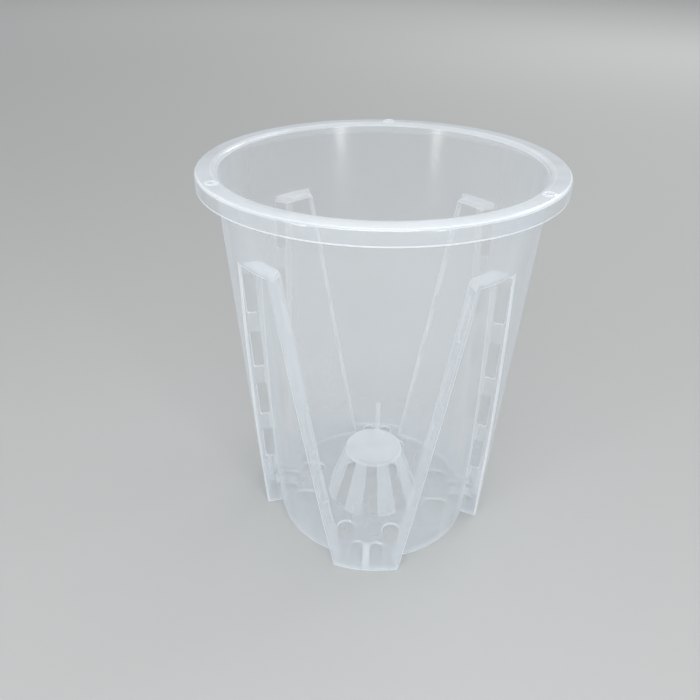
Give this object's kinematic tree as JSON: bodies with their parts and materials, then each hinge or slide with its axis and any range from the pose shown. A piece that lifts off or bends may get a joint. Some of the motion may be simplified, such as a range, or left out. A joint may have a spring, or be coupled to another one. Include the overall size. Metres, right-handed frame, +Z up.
{
  "type": "orchid pot with slots",
  "caption": "Clear tapered orchid pot with a turned-down rim, legs with slotted sides, recessed panels and a slotted air cone in the floor.",
  "frame": {"origin": "on the ground, on the pot's axis", "axes": "+Z up along the pot's axis, the front leg points to -Y, the right leg to +X"},
  "size_m": [0.12, 0.12, 0.1419],
  "materials": {
    "clear_plastic": "frosted clear polypropylene with a soft gloss"
  },
  "bodies": {
    "root": {"air_cone_cap": "clear_plastic", "air_cone_ribs": "clear_plastic", "back_leg_side_left": "clear_plastic", "back_leg_side_right": "clear_plastic", "base_floor": "clear_plastic", "foot_rib_back": "clear_plastic", "foot_rib_front": "clear_plastic", "foot_rib_left": "clear_plastic", "foot_rib_right": "clear_plastic", "front_leg_side_left": "clear_plastic", "front_leg_side_right": "clear_plastic", "left_leg_side_left": "clear_plastic", "left_leg_side_right": "clear_plastic", "leg_wall_back": "clear_plastic", "leg_wall_front": "clear_plastic", "leg_wall_left": "clear_plastic", "leg_wall_right": "clear_plastic", "recess_ledge_back_left": "clear_plastic", "recess_ledge_back_right": "clear_plastic", "recess_ledge_front_left": "clear_plastic", "recess_ledge_front_right": "clear_plastic", "recess_panel_back_left": "clear_plastic", "recess_panel_back_right": "clear_plastic", "recess_panel_front_left": "clear_plastic", "recess_panel_front_right": "clear_plastic", "right_leg_side_left": "clear_plastic", "right_leg_side_right": "clear_plastic", "rim_skirt": "clear_plastic", "rim_top_ring": "clear_plastic", "upper_wall": "clear_plastic"}
  },
  "joints": []
}
